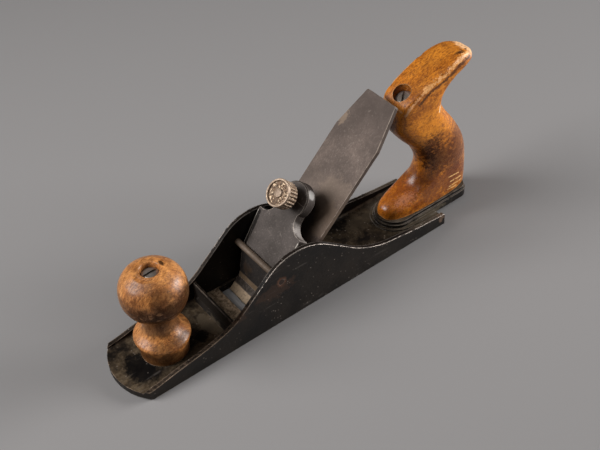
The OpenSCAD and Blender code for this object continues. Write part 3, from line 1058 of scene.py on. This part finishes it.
@dataclass
class OpenTote:
    """Rear tote: an open handle lofted through sections, with a horn and a sunk nut.

    A section holds its front point, its back point, its share of the thickness and its
    squareness. A bore holds its radius and where it starts and ends up from the rod's foot.
    """

    thickness_mm: float = 24.0
    around: int = 112
    steps: int = 13
    dents: int = 60
    seed: int = 5
    rod_top_mm: Pair = (211.2, 104.0)
    rod_foot_mm: Pair = (246.0, 10.5)
    sections_mm: tuple[tuple[float, ...], ...] = (
        (196.3, 10.5, 267.8, 10.5, 1, 2.9), (197.4, 17, 268.6, 19, 1, 2.6),
        (206, 21.6, 268.8, 30, 0.99, 2.2), (219.4, 26.4, 267.2, 41, 0.98, 2.05),
        (226.2, 35.5, 262.8, 52.5, 0.97, 2.1), (226.6, 45, 254.5, 66, 0.96, 2.2),
        (220.5, 57.5, 246, 77.5, 0.97, 2.4), (210.5, 69, 240.3, 87.5, 0.98, 2.6),
        (203.6, 80, 239.8, 97, 1, 3.4), (202.8, 92.2, 243.4, 103.5, 1, 5),
        (206.6, 101.8, 248.6, 108, 1, 7.5), (221.6, 110.4, 253.6, 110.4, 1, 8),
        (238, 117, 257.6, 112.2, 0.96, 7), (250.8, 119.4, 261.2, 113, 0.84, 5),
        (258.4, 118.6, 263.6, 114.2, 0.6, 3), (261.8, 117.4, 264.4, 115.4, 0.35, 2.4))
    chips_mm: tuple[Triple, ...] = (
        (210.5, -11, 101.8), (214.5, -11, 105.6), (221, -11.3, 109.3), (231.9, -11.2, 113.2),
        (240, -11, 115.6), (247.4, -10, 117.4), (254, -6.5, 118.4), (233, -11.5, 90.7),
        (259, 2, 118.2), (262, -2, 117), (212, 11.4, 104), (236, 11.2, 115.4))

    def surface(self) -> tuple[Points, int]:
        """The loft's points and its number of rows.

        Formula: each section runs from its front to its back point; across it, at an angle a,
        the share of the half chord is sign(cos a)|cos a|^(2/n) and the share of the half
        thickness is sign(sin a)|sin a|^(2/n), with n the section's squareness.
        """
        line = smooth_line(self.sections_mm, self.steps)
        a = np.linspace(0, 2 * math.pi, self.around, endpoint=False)[None, :]
        power = 2 / line[:, 5:6]
        chord, across = (np.sign(part) * np.abs(part) ** power for part in (np.cos(a), np.sin(a)))
        front, back = line[:, None, 0:2], line[:, None, 2:4]
        at = (front + back) / 2 + (back - front) / 2 * chord[..., None]
        side = line[:, 4:5] * self.thickness_mm / 2 * across
        return np.stack([at[..., 0], side, at[..., 1]], -1).reshape(-1, 3), len(line)

    def bore(self, radius: float, start: float, end: float) -> bpy.types.Object:
        """A closed round bar along the rod's line, to be taken out of the wood.

        Args:
            radius: Its radius in millimetres.
            start: Where it starts, in millimetres up from the rod's foot.
            end: Where it ends.

        Returns:
            The bar.
        """
        around = 48
        foot, top = np.array(self.rod_foot_mm), np.array(self.rod_top_mm)
        lean = math.atan2(foot[0] - top[0], top[1] - foot[1])
        points = revolve(np.array([[radius, start], [radius, end]]), around)
        turned = np.stack([
            points[:, 0] * math.cos(lean) - points[:, 2] * math.sin(lean), points[:, 1],
            points[:, 0] * math.sin(lean) + points[:, 2] * math.cos(lean)], -1)
        placed = to_frame(turned + [foot[0], 0.0, foot[1]])
        return make_mesh("bore", placed, grid_quads(2, around, False), end_caps(2, around))

    def build(self) -> bpy.types.Object:
        """Makes the tote with chipped arrises and its bores.

        Returns:
            The tote, standing for its node.
        """
        points, rows = self.surface()
        normals = outward(points, rows, self.around)
        rng = np.random.default_rng(self.seed)
        chips, count = len(self.chips_mm), self.dents
        picked = points[rng.integers(self.around * 20, len(points), count)]
        reach = np.concatenate([rng.uniform(0.9, 1.7, chips), rng.uniform(0.5, 1.8, count)])
        depth = np.concatenate([rng.uniform(0.4, 0.8, chips), rng.uniform(0.03, 0.16, count)])
        points = press_in(points, normals, np.vstack([self.chips_mm, picked]), reach, depth)
        points[: self.around, 2] = self.sections_mm[0][1]
        obj = make_mesh("open_tote", to_frame(points), grid_quads(rows, self.around, False),
                        end_caps(rows, self.around))
        length = math.dist(self.rod_top_mm, self.rod_foot_mm)
        for radius, start, end in ((3.1, -5, 130), (4.1, length - 22, length + 18),
                                   (6.0, length - 6.5, length + 33.5)):
            take_out(obj, self.bore(radius, start, end))
        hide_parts("rear_tote")
        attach(obj, "plane_body")
        LOG.info("built %s", obj.name)
        return obj

    def finish(self) -> Beech:
        """The tote's wood: pale chips on the near arris, a dark prow, a reddish back, painted shade
        in the nut's bore and under the near ridge, and a painted highlight on the toe.
        """
        deep, dark, cut = (85, 26, 9), (30, 12, 6), (850, 500, 190)
        stains_and_painted_light = marks(
            ColourPatch,
            ((142, 0, 40), (20, 20, 30), deep, 0.55, 0.5, 90.0),
            ((92, 4, 88), (8, 10, 14), (30, 14, 8), 0.75, 0.4, 200.0),
            ((119, 0, 58), (9, 20, 16), (40, 11, 4), 0.75, 1.2, 420.0),
            ((118, -11.5, 82), (20, 4, 14), (880, 310, 20), 0.35, 0.7, 160.0),
            ((128, 0, 22), (34, 20, 16), (120, 26, 8), 0.7, 0.9, 140.0),
            # painted highlight on the toe, partly a worn patch of the finish
            ((96.5, -7.5, 22.5), (12, 4.5, 4), (780, 380, 240), 0.5, 1.6, 950.0),
            ((98.5, -1, 21.5), (17, 14, 11), (700, 150, 12), 0.3, 1.0, 700.0),
            ((126, -11, 47), (15, 8, 13), (60, 18, 7), 0.7, 1.3, 420.0),
            ((142, -10, 46), (10, 10, 18), (95, 27, 10), 0.65, 1.2, 420.0),
            # painted shade: darkens the nut's bore in the top of the tote
            ((99, 0, 106), (6.8, 6.6, 6.2), (22, 11, 6), 0.9, 0.2, 300.0),
            ((151.5, -1, 116), (7.8, 10.5, 6.8), (820, 480, 240), 0.95, 0.25, 420.0),
            ((141, -6, 118.2), (4.4, 2.6, 2), dark, 0.9, 0.6, 420.0),
            ((147.1, -5.2, 118.4), (0.9, 0.9, 0.9), dark, 0.9, 0.2, 500.0))
        streaks = marks(
            Streak,
            # dark line under the near ridge: painted shade below the arris, partly a gouge
            (((104, -11.8, 100), (114.1, -11.6, 106.2), (125.7, -11.6, 109), (135.9, -11.6, 114),
              (145.6, -10, 115.5)), 1.3, (60, 22, 9), 0.85, 0.9, 420.0),
            (((89.6, -10.6, 89.8), (96.5, -11, 99.5)), 1.0, (660, 360, 190), 0.7, 0.8, 520.0),
            (((96.5, -11, 100), (108.6, -11, 107.8)), 1.1, (780, 380, 160), 0.92, 1.0, 800.0),
            (((108.6, -11, 107.8), (122, -11, 112.2), (136.5, -10.4, 117), (146.1, -8.8, 118.2)),
             1.6, (820, 410, 150), 0.95, 1.0, 800.0),
            (((146.9, 10, 116), (128.4, 11.2, 115.2), (111.5, 11.2, 111), (102.2, 11.2, 106),
              (94.6, 11, 98.9), (92.8, 7, 98.5), (92.5, -8, 97.5)), 0.7, (700, 380, 180), 0.7, 0.5,
             420.0),
            (((135.2, -11.5, 24.7), (140.5, -10.9, 23.7), (146.2, -9.9, 22.2)), 0.5, cut, 0.8, 1.0,
             600.0),
            (((136.9, -11.5, 19.8), (142, -10.7, 19.2), (149, -9.3, 17.1)), 0.5, cut, 0.75, 1.0,
             600.0),
            (((136.2, -11.6, 15.8), (143, -10.6, 15.3), (150, -9, 13.8)), 0.5, cut, 0.75, 1.0,
             600.0),
            (((134.5, -11.8, 14.2), (144, -10.5, 12.6)), 0.4, cut, 0.7, 1.0, 600.0),
            (((122.7, -10, 84.8), (124, -10.4, 89.6)), 0.9, (850, 620, 400), 0.95, 0.15, 500.0))
        return Beech(
            "tote_beech", (0.78, 0.275, 0.026), (0.61, 0.180, 0.011), (0.13, 0.032, 0.006),
            Axis.ALONG, (0.12, 0.0, 0.06), stains_and_painted_light + streaks, (0.0, math.radians(24.0), 0.0),
            polish=1.0)


def take_out(obj: bpy.types.Object, tool: bpy.types.Object) -> None:
    """Takes a tool's solid out of a piece for good, and removes the tool.

    Args:
        obj: The piece.
        tool: The closed solid that is taken out.
    """
    cut = obj.modifiers.new("cut", "BOOLEAN")
    cut.operation = "DIFFERENCE"
    cut.object = tool
    cut.solver = "EXACT"
    graph = bpy.context.evaluated_depsgraph_get()
    mesh = bpy.data.meshes.new_from_object(obj.evaluated_get(graph))
    obj.modifiers.clear()
    old, obj.data = obj.data, mesh
    mesh.shade_smooth()
    mesh.set_sharp_from_angle(angle=math.radians(SHARP_DEGREES))
    bpy.data.meshes.remove(old)
    bpy.data.objects.remove(tool)


@dataclass
class ThreadedShank:
    """Shank of the thumb screw with its cut thread."""

    radius_mm: float = 3.17
    pitch_mm: float = 1.27
    depth_mm: float = 0.42
    start_mm: float = 0.06
    end_mm: float = 28.5
    rows: int = 240
    around: int = 48

    def build(self, material: bpy.types.Material) -> None:
        """Makes the shank, standing for its node.

        Formula: at height h and angle a the radius is the full one less the depth times a
        triangle wave of h / pitch - a / turn, faded out at the point.

        Args:
            material: Its finish.
        """
        h = np.linspace(self.start_mm, self.end_mm, self.rows)[:, None]
        a = np.linspace(0, 2 * math.pi, self.around, endpoint=False)[None, :]
        wave = np.abs(((h / self.pitch_mm - a / (2 * math.pi)) % 1.0) * 2 - 1)
        cone = np.clip((h - self.start_mm) / 1.1, 0, 1) * 0.8 + 0.2
        r = (self.radius_mm - self.depth_mm * wave) * cone**0.5
        points = np.stack([SCREW_UP_MM + r * np.cos(a), r * np.sin(a), h + 0 * a], -1)
        obj = make_mesh("threaded_shank", bed_to_frame(points.reshape(-1, 3)),
                        grid_quads(self.rows, self.around, False),
                        end_caps(self.rows, self.around), 50.0)
        obj.data.materials.append(material)
        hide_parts("cap_screw_shank")
        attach(obj, "cap_screw_shank")
        LOG.info("built %s", obj.name)


@dataclass
class HeadBeads:
    """Ring of small raised beads on the thumb screw's sunk face."""

    face_mm: float = 33.76
    ring_mm: float = 5.15
    count: int = 14
    bead_mm: float = 0.62
    rise_mm: float = 0.5
    rows: int = 5
    around: int = 12

    def build(self, material: bpy.types.Material) -> None:
        """Makes all beads as one mesh.

        Formula: each bead is a low dome, radius * cos(t) wide at rise * sin(t), set on the ring
        at equal angles.

        Args:
            material: Their finish.
        """
        t = np.linspace(-0.25, math.pi / 2 - 0.12, self.rows)
        dome = revolve(np.stack([self.bead_mm * np.cos(t), self.rise_mm * np.sin(t)], -1),
                       self.around)
        turn = np.linspace(0, 2 * math.pi, self.count, endpoint=False)
        at = np.stack([SCREW_UP_MM + self.ring_mm * np.cos(turn), self.ring_mm * np.sin(turn),
                       self.face_mm + 0 * turn], -1)
        points = (dome[None] + at[:, None]).reshape(-1, 3)
        first = len(dome) * np.arange(self.count)
        quads = grid_quads(self.rows, self.around, False)[None] + first[:, None, None]
        bottom, top = end_caps(self.rows, self.around)
        caps = [[int(start) + k for k in cap] for cap in (top, bottom) for start in first]
        obj = make_mesh("head_beads", bed_to_frame(points), quads.reshape(-1, 4), caps, 60.0)
        obj.data.materials.append(material)
        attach(obj, "cap_screw_head")
        LOG.info("built %s", obj.name)


# Stage and metalwork


@dataclass(frozen=True)
class Stage:
    """Floor, lamps and camera. A lamp holds its name, place, aim, side and power."""

    camera_mm: Triple = (-240.39, -361.50, 461.98)
    yaw: float = -35.557
    pitch: float = 43.286
    roll: float = -3.151
    lens_mm: float = 59.30
    floor_colour: Colour = (0.245, 0.235, 0.232)
    boxes: tuple[tuple, ...] = (
        ("box_left", (-1.15, 0.52, 0.98), (0.0, 0.0, 0.03), 1.0, 7.0),
        ("box_right", (1.40, -0.62, 0.46), (0.0, 0.0, 0.04), 0.9, 9.2),
        ("box_over", (-0.5, 0.0, 1.8), (0.0, 0.0, 0.0), 0.9, 0.95))

    def camera(self) -> None:
        """Sets the camera by its place and its three angles.

        Formula: back = (sin a cos e, -cos a cos e, sin e) for the yaw a and the pitch e; right
        and up are square to it and turned about it by the roll.
        """
        a, e, r = (math.radians(v) for v in (self.yaw, self.pitch, self.roll))
        back = Vector((math.sin(a) * math.cos(e), -math.cos(a) * math.cos(e), math.sin(e)))
        level = Vector((math.cos(a), math.sin(a), 0.0))
        over = back.cross(level)
        right = level * math.cos(r) + over * math.sin(r)
        up = over * math.cos(r) - level * math.sin(r)
        data = bpy.data.cameras.new("camera")
        data.lens = self.lens_mm
        data.sensor_width = 36.0
        data.clip_start = 0.01
        camera = bpy.data.objects.new("camera", data)
        camera.matrix_world = Matrix.Translation(Vector(self.camera_mm) * MM) @ Matrix(
            (right, up, back)).transposed().to_4x4()
        bpy.context.scene.collection.objects.link(camera)
        bpy.context.scene.camera = camera

    def floor(self) -> None:
        """A plain pale floor, a hair below the sole."""
        half, below = 4.0, -0.00002
        net = np.array([[-half, -half, below], [half, -half, below], [half, half, below],
                        [-half, half, below]])
        obj = make_mesh("floor", net, np.array([[0, 1, 2, 3]]))
        s = Surface.start("floor_paper")
        g = s.graph
        tone = g.noise(s.at, 900.0, 3.0)
        colour = g.blend(tone * 0.08, self.floor_colour, (0.2, 0.19, 0.19))
        g.feed(s.shader.inputs["Specular IOR Level"], 0.1)
        obj.data.materials.append(s.finish(colour, g.span(tone, 0.3, 0.7, 0.9, 1.0), tone, 1e-5))

    def lamps(self) -> None:
        """Soft boxes: one at the back left, one at the right front, and a weak one overhead."""
        for name, place, aim, size, power in self.boxes:
            data = bpy.data.lights.new(name, "AREA")
            data.shape = "SQUARE"
            data.size = size
            data.energy = power
            data.spread = math.radians(80.0)
            lamp = bpy.data.objects.new(name, data)
            lamp.location = place
            lamp.rotation_euler = (Vector(place) - Vector(aim)).to_track_quat("Z", "Y").to_euler()
            bpy.context.scene.collection.objects.link(lamp)
        world = bpy.data.worlds.new("room")
        world.use_nodes = True
        light = world.node_tree.nodes["Background"]
        light.inputs["Color"].default_value = (0.55, 0.55, 0.56, 1.0)
        light.inputs["Strength"].default_value = 0.1
        bpy.context.scene.world = world

    def build(self) -> None:
        """Sets the camera, the floor, the lamps and the view."""
        self.camera()
        self.floor()
        self.lamps()
        bpy.context.scene.view_settings.view_transform = "Standard"


@dataclass
class Metalwork:
    """Finishes of the casting, the cutter, the cap, the rod, the screw and the nuts.

    The lines are rows of (up the bed, across, out of the cutter's face): the outer line of the
    cap's bevels, the middle of the painted shade strip inside the far one, and the near upper
    arris of the cutter.
    """

    bevel_mm: tuple[Triple, ...] = ((33.5, 19.3, 12.7), (57.0, 20.1, 17.2))
    shade_mm: tuple[Triple, ...] = (
        (35.0, 17.0, 14.2), (42.7, 17.0, 15.6), (50.0, 17.6, 16.4), (56.5, 18.6, 17.1))
    arris_mm: tuple[Triple, ...] = ((66.0, -19.05, 0.0), (126.6, -19.05, 0.0), (153.8, -12.8, 0.0))

    def cutter(self) -> Steel:
        """The cutter's steel: brushed along its length, with a pale strip at its edge brightened as
        painted light, painted shadow of the cap's lip above it, and painted shade and light about
        the screw's boss.
        """
        stains_and_painted_light = marks(
            ColourPatch,
            # painted shade: darker brown round the screw's boss
            ((30, 4, 56), (22, 22, 22), (75, 50, 34), 0.4, 0.9),
            ((34, -10, 61), (16, 14, 16), (220, 155, 110), 0.28, 0.7, 90.0),
            # painted light: lightens the cutter where the boss shades it
            ((26.3, -15, 52.7), (13, 9, 13), (200, 135, 90), 0.4, 0.6, 120.0),
            ((67.2, 16.5, 93.1), (6, 3, 6), (300, 210, 140), 0.4, 1.0, 420.0))
        arris = Streak(bed_line(self.arris_mm), 0.0003, (0.32, 0.25, 0.20), 0.6, 1.0, 300.0)
        return Steel(
            "cutter_steel", (0.116, 0.079, 0.061), (0.046, 0.029, 0.021), (0.36, 0.30, 0.25),
            0.45, 0.56, (0.06, 1.0, 1.0), (0.0, BED_ANGLE, 0.0), contrast=0.7, marking=0.45,
            scars=0.4, marks=stains_and_painted_light + (arris,), bands=(
                # pale strip at the edge, painted lighter as the lit end of the cutter; then a dark
                # line at the very edge
                Band(-0.002, 0.0072, (0.36, 0.26, 0.165), 0.95),
                Band(-0.002, 0.0012, (0.012, 0.010, 0.009), 0.95),
                # painted shadow of the cap's lip on the cutter
                Band(0.0076, 0.0150, (0.022, 0.015, 0.010), 0.95),
                Band(0.1350, 0.2000, (0.054, 0.034, 0.025), 0.75, 0.022)))

    def cap(self) -> Steel:
        """The cap's iron: dark, with a rusty end, a painted shade strip by its far bevel, bright
        bevel lines, painted light on its waist and lip and a painted highlight on its boss.
        """
        stains_and_painted_light = marks(
            ColourPatch,
            # painted light: lightens the near side of the cap's waist
            ((9.3, -14, 53.8), (6, 6, 8), (260, 230, 210), 0.75, 0.6),
            # painted highlight: the bright crescent on the boss
            ((21.9, -7.9, 70.9), (3.6, 3.6, 3), (340, 320, 300), 0.85, 0.5),
            ((-21, 12, 18.7), (7, 6, 7), (75, 46, 27), 0.55, 1.0, 200.0),
            ((-14, -12, 23), (6, 7, 6), (70, 52, 40), 0.4, 1.2, 300.0))
        # painted shade: the dark strip on the cap's far bevel
        shade = Streak(bed_line(self.shade_mm), 0.0017, (0.009, 0.0075, 0.0065), 0.92, 0.12, 260.0)
        lines = tuple(
            Streak(bed_line(np.array(self.bevel_mm) * [1.0, side, 1.0]), 0.0006,
                   (0.50, 0.45, 0.40), 0.9, 0.4, 260.0) for side in (-1.0, 1.0))
        return Steel(
            "cap_iron", (0.060, 0.045, 0.039), (0.030, 0.021, 0.016), (0.38, 0.32, 0.27),
            0.45, 0.58, wear=Wear.HEAVY, radius=0.0006, scars=0.5, side=(0.035, 0.024, 0.016),
            side_end=0.058, marks=stains_and_painted_light + (shade,) + lines, bands=(
                # painted light: the lit front face of the cap's lip
                Band(0.0100, 0.0153, (0.19, 0.125, 0.072), 0.9),
                Band(0.0156, 0.0325, (0.020, 0.018, 0.017), 0.75)))

    def build(self, effects: Effects) -> None:
        """Dresses the metal solids of the frame and adds the turned details.

        Args:
            effects: The shared groups.
        """
        ends = marks(ColourPatch, *(
            ((-15, side, 34.4), (6, 1.2, 6), (30, 17, 12), 1.0, 0.0) for side in (-24.3, 24.3)))
        rod = Steel("rod_steel", (0.16, 0.115, 0.082), (0.085, 0.056, 0.036), (0.4, 0.34, 0.3),
                    0.3, 0.6, (1.0, 0.06, 1.0), wear=Wear.LIGHT, marks=ends)
        screw = FlutedMetal("screw_metal", (0.15, 0.085, 0.042), (0.07, 0.04, 0.022),
                            (0.34, 0.245, 0.175), 0.45, 0.48, radius=0.0003)
        # painted shade in and beside the nuts' slots
        slot_shade = marks(Streak, *((line, 1.0, (20, 14, 10), 0.9, 0.4, 500.0) for line in (
            ((-91, -0.3, 70.3), (-81.1, 0.3, 70.3)), ((97.3, -2.9, 99.5), (104.9, 2.9, 102.4)))))
        nut = Steel("nut_steel", (0.55, 0.52, 0.48), (0.2, 0.16, 0.13), (0.8, 0.76, 0.7),
                    0.85, 0.34, marks=slot_shade)
        dress("sole_casting", Japanning().material(effects))
        dress("cutter", self.cutter().material(effects))
        dress("lever_cap", self.cap().material(effects))
        dress("cap_rod", rod.material(effects))
        screw_metal = screw.material(effects)
        dress("cap_screw_head", screw_metal)
        ThreadedShank().build(screw_metal)
        HeadBeads().build(screw_metal)
        steel = nut.material(effects)
        for node in ("knob_nut", "tote_nut", "knob_stud", "tote_rod"):
            dress(node, steel)


def main() -> None:
    """Builds the stage, the metal and the wood in order, and reports each piece."""
    logging.basicConfig(level=logging.INFO, format="%(name)s: %(message)s")
    Stage().build()
    effects = Effects()
    Metalwork().build(effects)
    knob = TurnedKnob()
    knob.build().data.materials.append(knob.finish().material(effects))
    tote = OpenTote()
    wood = tote.build()
    wood.data.materials.clear()
    wood.data.materials.append(tote.finish().material(effects))
    bpy.context.view_layer.update()


if __name__ == "__main__":
    main()
